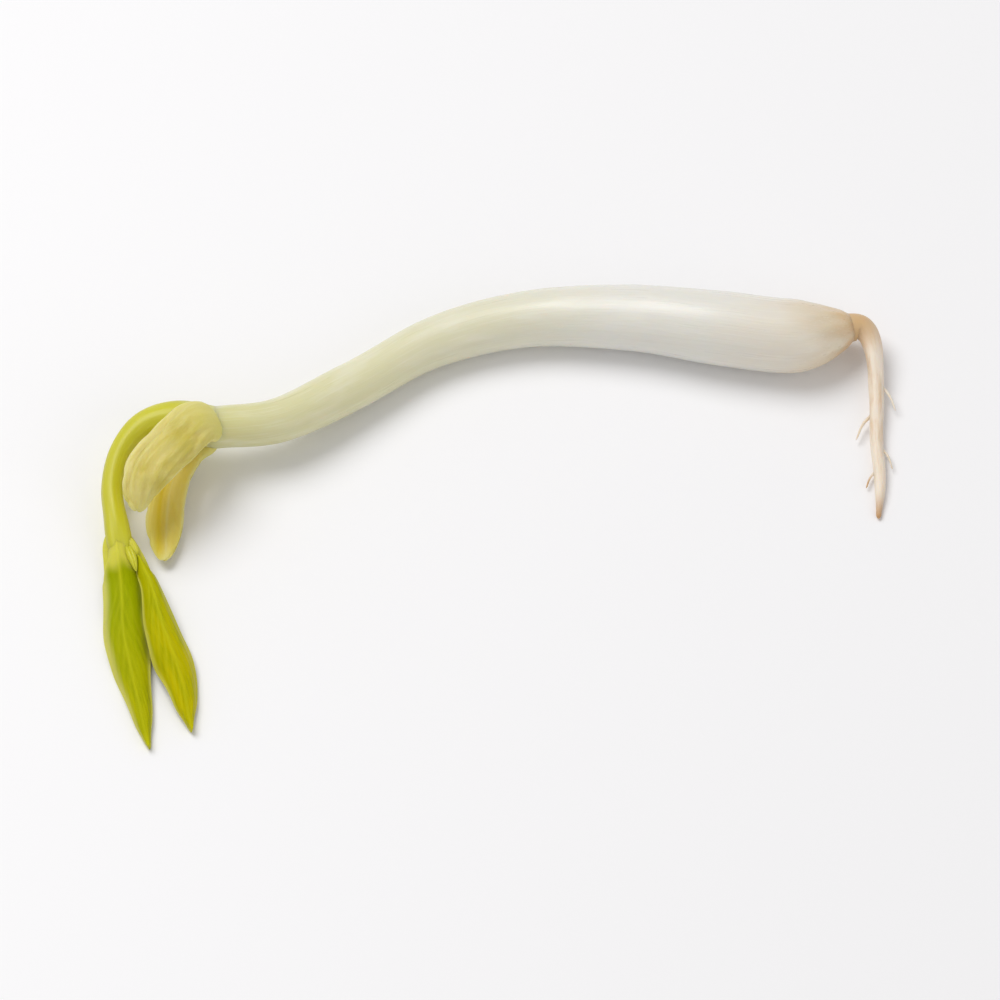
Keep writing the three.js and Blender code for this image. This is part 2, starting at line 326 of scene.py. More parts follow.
class SproutColours(bpy.types.PropertyGroup):
    """Colours of the organs"""

    stem_buff: colour_property("Stem buff", "The stem just above its collar", "e0cfb2")
    stem_bone: colour_property("Stem bone", "The stem as it whitens above its collar", "e6dfd2")
    stem_white: colour_property("Stem white", "The thick middle of the stem", "e6e4dc")
    stem_cream: colour_property("Stem cream", "The stem halfway to the hook", "e0ddc2")
    stem_lime: colour_property("Stem lime", "The stem as it greens towards the hook", "dddab2")
    stem_green: colour_property("Stem green", "The stem beside the seed leaves", "d8d5a6")
    stem_cloud: colour_property("Stem cloud", "Milky patches of the stem", "f1efe6")
    stem_fibre: colour_property("Stem fibre", "Darker lines along the stem", "d2cdb8")
    stem_thread: colour_property("Stem thread", "Fine bright lines along the stem", "f8f7f0")
    node_green: colour_property("Node green", "Where the stem turns into the shoot", "d7d393")
    collar_tan: colour_property("Collar tan", "The stem's end beside the root", "d9b585")
    root_pale: colour_property("Root pale", "The root's pale skin", "f2e4d2")
    root_tan: colour_property("Root tan", "The root's tan streaks", "dbb98f")
    root_tip: colour_property("Root tip", "The root's brown tip", "c69d70")
    # Painted rim light: the shoot's outer side is coloured paler.
    shoot_rim_light: colour_property("Shoot pale", "The shoot's outer side", "c2be40")
    shoot_green: colour_property("Shoot green", "The shoot's inner side", "ccc824")
    shoot_fibre: colour_property("Shoot fibre", "Fine lines along the shoot", "dcd66c")
    seed_cream: colour_property("Seed leaf cream", "A seed leaf's rim and ridges", "e5da92")
    seed_khaki: colour_property("Seed leaf khaki", "A seed leaf's flesh", "c7ba54")
    seed_lime: colour_property("Seed leaf lime", "A seed leaf beside the stem", "e0d87a")
    seed_gold: colour_property("Seed leaf gold", "A seed leaf's channelled side", "e8d365")
    # Olive of a seed leaf, which also paints shade into its channel and creases.
    seed_olive_and_shade: colour_property("Seed leaf olive", "A seed leaf's channel and creases", "dcc400")
    leaf_green: colour_property("Leaf green", "A leaf's blade", "9aa400")
    leaf_yellow: colour_property("Leaf yellow-green", "A leaf as it yellows", "beb200")
    leaf_deep: colour_property("Leaf deep green", "The darker streaks of a leaf", "8b9600")
    leaf_pale: colour_property("Leaf pale green", "A leaf's veins", "c8c826")
    # Painted rim light along a leaf's edges.
    leaf_rim_light: colour_property("Leaf rim", "A leaf's edges", "d0cc66")


class StageSettings(bpy.types.PropertyGroup):
    """Table, lights and camera"""

    table_white: colour_property("Table white", "The table under the sprout", "f8f7f8")
    table_size: size_property("Table size", "Side of the table top", 2.0)
    room_light: FloatProperty(
        name="Room light", description="Strength of the light from all round", default=0.46, min=0.0
    )
    key_power: FloatProperty(
        name="Key power",
        description="Power of the large soft light above",
        default=0.95,
        min=0.0,
        unit="POWER",
    )
    fill_power: FloatProperty(
        name="Fill power",
        description="Power of the low light beside the camera",
        default=0.2,
        min=0.0,
        unit="POWER",
    )
    elevation: FloatProperty(
        name="Camera elevation",
        description="Height of the camera above the horizon, as seen from the sprout",
        default=math.radians(57),
        subtype="ANGLE",
        unit="ROTATION",
    )
    lens: FloatProperty(
        name="Lens",
        description="Focal length of the camera",
        default=400.0,
        subtype="DISTANCE_CAMERA",
        unit="CAMERA",
    )
    framing: FloatProperty(
        name="Framing",
        description="Share of the picture's width that the sprout takes",
        default=0.8,
        min=0.1,
        max=1.0,
        subtype="FACTOR",
    )


# ---- Modelling by hand ---------------------------------------------------------------------------


def place(point):
    """A point of the drawing frame, in metres."""
    return DRAWING_ORIGIN + Vector(point) * MM


def clamp(value):
    return min(max(value, 0.0), 1.0)


def smooth(value, low, high):
    """0 at low, rising softly to 1 at high, which may be the lower number."""
    share = clamp((value - low) / (high - low))
    return share * share * (3 - 2 * share)


def bell(value, width):
    """1 at 0, falling to almost nothing at twice the width to either side."""
    return math.exp(-((value / width) ** 2))


def profile(values):
    """A smooth curve through evenly spaced values, read at 0 to 1."""
    last = len(values) - 1

    def read(share):
        spot = clamp(share) * last
        i = min(int(spot), last - 1)
        t = spot - i
        start, end = values[i], values[i + 1]
        slope_in = (end - values[max(i - 1, 0)]) / 2
        slope_out = (values[min(i + 2, last)] - start) / 2
        cubic = 2 * start - 2 * end + slope_in + slope_out
        square = 3 * end - 3 * start - 2 * slope_in - slope_out
        return ((cubic * t + square) * t + slope_in) * t + start

    return read


def rounded(at, start, near, end, far):
    """1 between two ends, rounding off to nothing over a stretch inside either of them."""
    first = 1 - clamp((at - start) / near)
    last = 1 - clamp((end - at) / far)
    return math.sqrt((1 - first**2) * (1 - last**2))


def waver(point, size, stretch, seed):
    """Smooth noise from -1 to 1, in swells of that many millimetres, drawn out along X."""
    x, y, z = point / (size * MM)
    return noise.noise(Vector((x / stretch + seed, y, z)))


def crease(point, size, stretch, seed, width=0.12):
    """1 along thin winding lines, falling to 0 between them."""
    return bell(waver(point, size, stretch, seed), width)


def only(piece):
    """Selects one piece alone and makes it active."""
    bpy.ops.object.select_all(action="DESELECT")
    piece.select_set(True)
    bpy.context.view_layer.objects.active = piece


@contextmanager
def editing(piece):
    """Edit mode on one piece alone."""
    only(piece)
    bpy.ops.object.mode_set(mode="EDIT")
    yield
    bpy.ops.object.mode_set(mode="OBJECT")


def pick(piece, wanted):
    """In edit mode, selects the vertices whose place is wanted, and nothing else."""
    mesh = bmesh.from_edit_mesh(piece.data)
    for vertex in mesh.verts:
        vertex.select = wanted(vertex.co)
    mesh.select_flush_mode()
    bmesh.update_edit_mesh(piece.data)


def apply_modifier(piece, kind, **settings):
    """Adds a modifier, sets it and applies it at once."""
    only(piece)
    modifier = piece.modifiers.new(kind.title(), kind)
    for name, value in settings.items():
        setattr(modifier, name, value)
    bpy.ops.object.modifier_apply(modifier=modifier.name)


def guide_along(points, roll=0.0):
    """A curve through points in metres, level from side to side, rolled by some radians."""
    bpy.ops.object.select_all(action="DESELECT")
    bpy.ops.curve.primitive_bezier_curve_add(location=(0, 0, 0))
    guide = bpy.context.object
    guide.data.twist_mode = "Z_UP"
    guide.data.resolution_u = 48
    knots = guide.data.splines[0].bezier_points
    knots.add(len(points) - len(knots))
    last = len(points) - 1
    for i, knot in enumerate(knots):
        before = points[i - 1] if i else points[0] * 2 - points[1]
        after = points[i + 1] if i < last else points[last] * 2 - points[last - 1]
        handle = (after - before) / 6
        knot.handle_left_type = knot.handle_right_type = "FREE"
        knot.co = points[i]
        knot.handle_left = points[i] - handle
        knot.handle_right = points[i] + handle
        knot.tilt = roll
    return guide


def route_guide(route, roll=0.0):
    return guide_along([place(p) for p in route], roll)


def length_of(guide):
    return guide.data.splines[0].calc_length()


def spot_along(guide, share):
    """The point that lies a share of the way along a guide."""
    line = [vertex.co.copy() for vertex in guide.to_mesh().vertices]
    guide.to_mesh_clear()
    left = share * length_of(guide)
    for start, end in zip(line, line[1:]):
        step = (end - start).length
        if step >= left:
            return start.lerp(end, left / step)
        left -= step
    return line[-1]


def lay_along(piece, guide):
    """Bends a straight piece along a guide, and takes the guide away."""
    apply_modifier(piece, "CURVE", object=guide, deform_axis="POS_X")
    bpy.data.objects.remove(guide)


def stations(length, steps, ends, half_width, half_thickness):
    """Places along a straight organ, closest at its ends, with their half sizes. The ends and
    what the sizes are read at are shares of the length."""
    start, _, end, _ = ends
    for i in range(steps + 1):
        share = start + (end - start) * (1 - math.cos(math.pi * i / steps)) / 2
        half_sizes = (half_width(share), half_thickness(share))
        yield (length * share, *(max(size, LEAST_SIZE) * MM for size in half_sizes))


def draw_rod(name, length, mesh, ends, half_width, half_thickness):
    """A straight organ: a round section drawn out along +X and sized at each station."""
    sides, steps = mesh
    sections = stations(length, steps, ends, half_width, half_thickness)
    bpy.ops.object.select_all(action="DESELECT")
    bpy.ops.mesh.primitive_circle_add(
        vertices=sides, radius=1.0, fill_type="NGON", rotation=(0, -math.pi / 2, 0)
    )
    bpy.ops.object.transform_apply(location=False, rotation=True, scale=False)
    rod = bpy.context.object
    rod.name = rod.data.name = name
    with editing(rod):
        bpy.ops.mesh.select_all(action="SELECT")
        at, width, thickness = next(sections)
        bpy.ops.transform.resize(value=(1, width, thickness), center_override=(0, 0, 0))
        bpy.ops.transform.translate(value=(at, 0, 0))
        for next_at, next_width, next_thickness in sections:
            bpy.ops.mesh.extrude_region_move(
                TRANSFORM_OT_translate={"value": (next_at - at, 0, 0)}
            )
            bpy.ops.transform.resize(
                value=(1, next_width / width, next_thickness / thickness),
                center_override=(next_at, 0, 0),
            )
            at, width, thickness = next_at, next_width, next_thickness
        bpy.ops.mesh.select_all(action="SELECT")
        bpy.ops.mesh.normals_make_consistent(inside=False)
    return rod


def draw_blade(name, length, mesh, ends, half_width):
    """A flat sheet along +X, with each column of vertices sized to the blade's half width."""
    strips, steps = mesh
    start, _, end, _ = (length * share for share in ends)
    size = end - start
    bpy.ops.object.select_all(action="DESELECT")
    bpy.ops.mesh.primitive_grid_add(
        x_subdivisions=steps, y_subdivisions=strips, size=size, location=(start + size / 2, 0, 0)
    )
    bpy.ops.object.transform_apply(location=True, rotation=False, scale=False)
    blade = bpy.context.object
    blade.name = blade.data.name = name
    step = size / steps
    with editing(blade):
        for i in range(steps + 1):
            at = start + i * step
            pick(blade, lambda co: abs(co.x - at) < step / 2)
            scale = 2 * half_width(at / length) * MM / size
            bpy.ops.transform.resize(value=(1, scale, 1), center_override=(at, 0, 0))
    return blade


def relief(piece, height, weigh, direction="NORMAL"):
    """Moves the surface out by height times weigh, which reads a vertex's place as -1 to 1."""
    weights = [weigh(vertex.co) for vertex in piece.data.vertices]
    for sign in (1, -1):
        group = piece.vertex_groups.new(name="relief")
        for i, weight in enumerate(weights):
            if sign * weight > 0:
                group.add([i], min(sign * weight, 1.0), "REPLACE")
        apply_modifier(
            piece,
            "DISPLACE",
            vertex_group=group.name,
            direction=direction,
            mid_level=0.0,
            strength=sign * height,
        )
        piece.vertex_groups.clear()


def keep_pattern(piece, name, read):
    """Stores three numbers for each vertex, for the patterns that follow the organ."""
    values = [read(vertex.co) for vertex in piece.data.vertices]
    attribute = piece.data.attributes.new(name, "FLOAT_VECTOR", "POINT")
    for item, value in zip(attribute.data, values):
        item.vector = value


def keep_straight(piece):
    """Stores each vertex's place on the straight organ, in millimetres."""
    keep_pattern(piece, "straight", lambda co: co / MM)


def trim_at_table(piece):
    """Cuts off what reaches below the table, closes the cut and keeps its edge sharp."""
    with editing(piece):
        bpy.ops.mesh.select_all(action="SELECT")
        bpy.ops.mesh.bisect(
            plane_co=(0, 0, 0),
            plane_no=(0, 0, -1),
            use_fill=True,
            clear_outer=True,
            threshold=1e-7,
        )
        bpy.ops.mesh.mark_sharp()


def finish_piece(piece, node, material):
    """Shades the piece, gives it its material and hands it over to the frame."""
    only(piece)
    bpy.ops.object.shade_smooth_by_angle(angle=math.radians(60))
    piece.data.materials.clear()
    piece.data.materials.append(material)
    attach(piece, "root")
    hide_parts(node)


# ---- Materials -----------------------------------------------------------------------------------


class Surface:
    """A material being wired. A feed is a plain value or another node's output, and the radius is
    how many millimetres red, green and blue light spread inside."""

    def __init__(self, name, roughness, subsurface, radius, **sockets):
        self.material = bpy.data.materials.new(name)
        self.material.use_nodes = True
        self.tree = self.material.node_tree
        self.shader = self.tree.nodes["Principled BSDF"]
        self.feed(self.shader, "Roughness", roughness)
        self.feed(self.shader, "Subsurface Weight", subsurface)
        self.feed(self.shader, "Subsurface Radius", radius)
        self.feed(self.shader, "Subsurface Scale", MM)
        for socket, value in sockets.items():
            self.feed(self.shader, socket.replace("_", " ").title().replace("Ior", "IOR"), value)

    def feed(self, node, socket, value):
        if isinstance(value, bpy.types.NodeSocket):
            self.tree.links.new(value, node.inputs[socket])
        else:
            node.inputs[socket].default_value = value

    def add(self, kind, feeds, output=0, **settings):
        node = self.tree.nodes.new(kind)
        for name, value in settings.items():
            setattr(node, name, value)
        for socket, value in feeds.items():
            self.feed(node, socket, value)
        return node.outputs[output]

    def pattern(self, name):
        """The three numbers stored for each vertex under a name."""
        return self.add("ShaderNodeAttribute", {}, "Vector", attribute_name=name)

    def part(self, vector, axis):
        return self.add("ShaderNodeSeparateXYZ", {0: vector}, axis)

    def math(self, operation, first, second):
        return self.add("ShaderNodeMath", {0: first, 1: second}, operation=operation)

    def span(self, value, low, high, to_low=0.0, to_high=1.0):
        """Turns low to high softly into to_low to to_high, and goes no further either way."""
        feeds = {"Value": value, "From Min": low, "From Max": high}
        feeds.update({"To Min": to_low, "To Max": to_high})
        return self.add("ShaderNodeMapRange", feeds, interpolation_type="SMOOTHSTEP")

    def noise(self, vector, scale, detail=3.0, roughness=0.5):
        feeds = {"Vector": vector, "Scale": scale, "Detail": detail, "Roughness": roughness}
        return self.add("ShaderNodeTexNoise", feeds)

    def streaks(self, straight, along, across, detail=3.0, roughness=0.5):
        """Noise on the straight organ, with so many swells a millimetre along and across it."""
        feeds = {"Vector": straight, "Scale": (along, across, across)}
        stretched = self.add("ShaderNodeMapping", feeds)
        return self.noise(stretched, scale=1.0, detail=detail, roughness=roughness)

    def mix(self, factor, first, second):
        return self.add("ShaderNodeMix", {0: factor, 6: first, 7: second}, 2, data_type="RGBA")

    def ramp(self, value, stops):
        """Colours at places from 0 to 1."""
        node = self.tree.nodes.new("ShaderNodeValToRGB")
        self.feed(node, 0, value)
        elements = node.color_ramp.elements
        while len(elements) < len(stops):
            elements.new(1.0)
        for element, (at, colour) in zip(elements, stops):
            element.position = at
            element.color = colour
        return node.outputs[0]

    def bump(self, height, distance, strength):
        """Fine relief, that many millimetres deep."""
        feeds = {"Height": height, "Distance": distance * MM, "Strength": strength}
        self.feed(self.shader, "Normal", self.add("ShaderNodeBump", feeds))

    def colour(self, value):
        self.feed(self.shader, "Base Color", value)
        return self.material


def stem_flesh(colours):
    """Waxy white flesh, streaked lengthwise, greener towards the hook and tan at the root."""
    skin = Surface(
        "stem_flesh",
        roughness=0.36,
        subsurface=0.7,
        radius=(1.5, 1.25, 0.9),
        coat_weight=0.32,
        coat_roughness=0.2,
    )
    straight = skin.pattern("straight")
    share = skin.part(skin.pattern("form"), 0)
    drift = skin.streaks(straight, along=0.12, across=0.5)
    along = skin.math("ADD", share, skin.span(drift, 0.3, 0.7, -0.02, 0.02))
    stops = (
        (0.0, colours.collar_tan),
        (0.045, colours.stem_buff),
        (0.12, colours.stem_bone),
        (0.22, colours.stem_white),
        (0.36, colours.stem_white),
        (0.58, colours.stem_cream),
        (0.8, colours.stem_lime),
        (0.92, colours.stem_green),
        (1.0, colours.node_green),
    )
    base = skin.ramp(along, stops)
    fibres = skin.streaks(straight, along=0.16, across=5.0, detail=4.0, roughness=0.65)
    threads = skin.streaks(straight, along=0.35, across=14.0, detail=2.0)
    cloudy = skin.streaks(straight, along=0.3, across=0.9)
    base = skin.mix(skin.span(cloudy, 0.45, 0.75, 0.0, 0.3), base, colours.stem_cloud)
    base = skin.mix(skin.span(fibres, 0.48, 0.78, 0.0, 0.2), base, colours.stem_fibre)
    base = skin.mix(skin.span(threads, 0.5, 0.8, 0.0, 0.18), base, colours.stem_thread)
    skin.feed(skin.shader, "Roughness", skin.span(fibres, 0.3, 0.7, 0.26, 0.44))
    height = skin.math("ADD", fibres, skin.math("MULTIPLY", threads, 0.35))
    skin.bump(height, distance=0.035, strength=0.55)
    return skin.colour(base)


def root_skin(colours):
    """Papery tan skin with lengthwise fibres and a brown tip."""
    skin = Surface(
        "root_skin", roughness=0.5, subsurface=0.25, radius=(0.5, 0.35, 0.2), sheen_weight=0.15
    )
    straight = skin.pattern("straight")
    share = skin.part(skin.pattern("form"), 0)
    fibres = skin.streaks(straight, along=0.5, across=6.0, detail=5.0, roughness=0.65)
    blotches = skin.streaks(straight, along=0.45, across=2.2, detail=4.0, roughness=0.6)
    base = skin.mix(skin.span(blotches, 0.45, 0.8, 0.0, 0.8), colours.root_pale, colours.root_tan)
    base = skin.mix(skin.span(fibres, 0.45, 0.7, 0.0, 0.3), base, colours.root_tan)
    base = skin.mix(skin.span(share, 0.05, 0.22, 1.0, 0.0), base, colours.collar_tan)
    base = skin.mix(skin.span(share, 0.86, 1.0), base, colours.root_tip)
    skin.bump(fibres, distance=0.06, strength=0.8)
    return skin.colour(base)


def shoot_skin(colours):
    """Tender yellow-green skin, paler on the side that faces out of the hook, where rim light is
    painted into its colour.
    """
    skin = Surface(
        "shoot_skin",
        roughness=0.42,
        subsurface=0.5,
        radius=(1.0, 0.9, 0.2),
        coat_weight=0.06,
        coat_roughness=0.3,
    )
    straight = skin.pattern("straight")
    form = skin.pattern("form")
    share, across = skin.part(form, 0), skin.part(form, 1)
    drift = skin.streaks(straight, along=0.3, across=1.0)
    outer = skin.math("ADD", across, skin.span(drift, 0.3, 0.7, -0.25, 0.25))
    # The paler outer side is painted rim light.
    base = skin.mix(skin.span(outer, -0.3, -1.0), colours.shoot_green, colours.shoot_rim_light)
    base = skin.mix(skin.span(share, 0.0, 0.22, 1.0, 0.0), base, colours.node_green)
    fibres = skin.streaks(straight, along=0.25, across=5.0, detail=4.0, roughness=0.6)
    base = skin.mix(skin.span(fibres, 0.45, 0.8, 0.0, 0.3), base, colours.shoot_fibre)
    skin.bump(fibres, distance=0.04, strength=0.6)
    return skin.colour(base)


def seed_leaf(colours):
    """Shrivelled khaki flesh, cream along its rim, at its tip and in patches, gold on its
    channelled side, streaked olive, and with shade painted in olive into its channel and creases.
    """
    skin = Surface(
        "seed_leaf",
        roughness=0.5,
        subsurface=0.5,
        radius=(1.1, 0.9, 0.3),
        coat_weight=0.08,
        coat_roughness=0.35,
    )
    straight = skin.pattern("straight")
    share = skin.part(skin.pattern("form"), 0)
    marks = skin.pattern("marks")
    cloudy = skin.streaks(straight, along=0.5, across=1.3, detail=5.0, roughness=0.6)
    patches = skin.span(cloudy, 0.35, 0.65, 0.0, 0.55)
    base = skin.mix(patches, colours.seed_khaki, colours.seed_cream)
    base = skin.mix(skin.part(marks, 2), base, colours.seed_gold)
    base = skin.mix(skin.part(marks, 0), base, colours.seed_cream)
    # Painted shade: olive darkens the channel and the creases, partly the leaf's own olive tone.
    base = skin.mix(skin.part(marks, 1), base, colours.seed_olive_and_shade)
    grain = skin.streaks(straight, along=1.2, across=5.0, detail=5.0, roughness=0.7)
    base = skin.mix(skin.span(grain, 0.5, 0.8, 0.0, 0.2), base, colours.seed_olive_and_shade)
    base = skin.mix(skin.span(share, 0.0, 0.35, 0.7, 0.0), base, colours.seed_lime)
    skin.bump(skin.math("ADD", grain, cloudy), distance=0.07, strength=0.7)
    return skin.colour(base)


def leaf_blade(colours):
    """Thin bright green blade, yellower towards its tip, with pale veins and painted rim light
    along its margins.
    """
    skin = Surface(
        "leaf_blade",
        roughness=0.45,
        subsurface=0.35,
        radius=(0.7, 0.8, 0.05),
        specular_ior_level=0.12,
        specular_tint=(1.0, 1.0, 0.1, 1.0),
    )
    straight = skin.pattern("straight")
    form, marks = skin.pattern("form"), skin.pattern("marks")
    share, yellowing = skin.part(form, 0), skin.part(form, 2)
    ripe = skin.math("ADD", yellowing, skin.span(share, 0.2, 0.8, 0.0, 0.5))
    base = skin.mix(ripe, colours.leaf_green, colours.leaf_yellow)
    darker = skin.streaks(straight, along=0.4, across=3.2, detail=4.0, roughness=0.6)
    base = skin.mix(skin.span(darker, 0.4, 0.7, 0.0, 0.5), base, colours.leaf_deep)
    base = skin.mix(skin.part(marks, 0), base, colours.leaf_pale)
    # Painted rim light on the edges, stronger on the inner edge to lift its shade.
    base = skin.mix(skin.part(marks, 1), base, colours.leaf_rim_light)
    outer = skin.span(skin.part(form, 1), 0.0, 0.9)
    # A stalk's outer side gets the shoot's painted rim light too.
    stalk = skin.mix(outer, colours.shoot_green, colours.shoot_rim_light)
    stalk = skin.mix(STALK_PALING, stalk, colours.shoot_fibre)
    base = skin.mix(skin.part(marks, 2), base, stalk)
    cells = skin.noise(straight, scale=14.0, detail=2.0)
    height = skin.math("ADD", skin.math("MULTIPLY", darker, 2.0), cells)
    skin.bump(height, distance=0.02, strength=0.5)
    return skin.colour(base)


def table_top(colour):
    """Smooth pale table with the faintest sheen."""
    skin = Surface("table_top", roughness=0.4, subsurface=0.0, radius=(1.0, 1.0, 1.0))
    return skin.colour(colour)


# ---- Organs --------------------------------------------------------------------------------------


class SPROUT_OT_stem(bpy.types.Operator):
    """Grow the thick white stem from the collar to the seed leaves"""

    bl_idname = "sprout.stem"
    bl_label = "Stem"

    def execute(self, context):
        sizes = context.scene.sprout_sizes
        guide = route_guide(STEM_ROUTE)
        length = length_of(guide)
        body = profile(STEM_RADII)

        def radius(share):
            rise = math.sin(clamp(share / STEM_SHOULDER) * math.pi / 2)
            return COLLAR_RADIUS + (body(share) - COLLAR_RADIUS) * rise

        def half_size(share):
            return radius(share) * rounded(share, *STEM_ENDS)

        def collar_folds(co):
            angle = math.atan2(co.z, co.y)
            turn = 2 * waver(co, size=1.5, stretch=1.0, seed=6.0)
            fold = 0.5 + 0.5 * math.cos(COLLAR_FOLDS * angle + turn)
            return fold * bell(co.x / length - 0.035, 0.03) * smooth(co.x / length, 0.0, 0.03)

        def swells(co):
            return 0.5 + 0.7 * waver(co, size=2.4, stretch=2.5, seed=1.0)

        stem = draw_rod(
            "stem",
            length,
            (sizes.stem_sides, STEM_STEPS),
            STEM_ENDS,
            lambda s: half_size(s) * (1 + STEM_OVAL),
            lambda s: half_size(s) * (1 - STEM_OVAL),
        )
        keep_pattern(stem, "form", lambda co: (co.x / length, 0, 0))
        keep_straight(stem)
        relief(stem, -sizes.stem_swells, swells)
        relief(stem, -sizes.collar_folds, collar_folds)
        lay_along(stem, guide)
        trim_at_table(stem)
        finish_piece(stem, "hypocotyl", stem_flesh(context.scene.sprout_colours))
        return {"FINISHED"}


class SPROUT_OT_root(bpy.types.Operator):
    """Grow the thin root and its rootlets"""

    bl_idname = "sprout.root"
    bl_label = "Root"

    def execute(self, context):
        sizes = context.scene.sprout_sizes
        guide = route_guide(ROOT_ROUTE)
        starts = [spot_along(guide, at) for at, *_ in ROOTLETS]
        rootlets = [self.rootlet(start, *spec) for start, spec in zip(starts, ROOTLETS)]
        length = length_of(guide)
        radius = profile(ROOT_RADII)

        def thin(share):
            return radius(share) * rounded(share, *ROOT_ENDS)

        def folds(co):
            fold = 0.4 + 0.8 * waver(co, size=0.35, stretch=5.0, seed=2.0)
            return fold * smooth(co.x / length, 0.03, 0.12)

        root = draw_rod("taproot", length, ROOT_MESH, ROOT_ENDS, thin, thin)
        keep_pattern(root, "form", lambda co: (co.x / length, 0, 0))
        keep_straight(root)
        relief(root, -sizes.root_folds, folds)
        lay_along(root, guide)
        only(root)
        for rootlet in rootlets:
            rootlet.select_set(True)
        bpy.ops.object.join()
        trim_at_table(root)
        finish_piece(root, "radicle", root_skin(context.scene.sprout_colours))
        return {"FINISHED"}

    def rootlet(self, start, at, reach, bend, radius):
        end = start + Vector(reach) * MM
        middle = start.lerp(end, 0.5) + Vector(bend) * MM / 2
        guide = guide_along([start, middle, end])
        length = length_of(guide)

        def thin(share):
            return radius * (1 - ROOTLET_TAPER * share) * rounded(share, *ROOTLET_ENDS)

        branch = draw_rod("rootlet", length, ROOTLET_MESH, ROOTLET_ENDS, thin, thin)
        keep_pattern(branch, "form", lambda co: (at + ROOTLET_BROWNING * co.x / length, 0, 0))
        streaks_from = Vector((40 * at, 0, 0))
        keep_pattern(branch, "straight", lambda co: co / MM + streaks_from)
        lay_along(branch, guide)
        return branch


class SPROUT_OT_shoot(bpy.types.Operator):
    """Grow the green shoot that turns through the hook and carries the leaves"""

    bl_idname = "sprout.shoot"
    bl_label = "Shoot"

    def execute(self, context):
        sizes = context.scene.sprout_sizes
        guide = route_guide(SHOOT_ROUTE)
        length = length_of(guide)
        body = profile(SHOOT_RADII)

        def flat(share):
            return smooth(share, 0.75, 1.0)

        def ribs(co):
            return 0.7 + 0.3 * math.sin(SHOOT_RIBS * math.atan2(co.z, co.y))

        def fork(co):
            share = co.x / length
            return bell(co.y / MM, FORK_WIDTH) * smooth(share, 0.82, 0.98) * (co.z > 0)

        def form(co):
            share = co.x / length
            return (share, co.y / MM / body(share), 0)

        shoot = draw_rod(
            "shoot",
            length,
            SHOOT_MESH,
            SHOOT_ENDS,
            lambda s: body(s) * (1 + SHOOT_FLATTEN * flat(s)) * rounded(s, *SHOOT_ENDS),
            lambda s: body(s) * (1 - SHOOT_THINNING * flat(s)) * rounded(s, *SHOOT_ENDS),
        )
        keep_pattern(shoot, "form", form)
        keep_straight(shoot)
        relief(shoot, -sizes.shoot_ribs, ribs)
        relief(shoot, -sizes.fork_depth, fork)
        lay_along(shoot, guide)
        finish_piece(shoot, "epicotyl", shoot_skin(context.scene.sprout_colours))
        return {"FINISHED"}


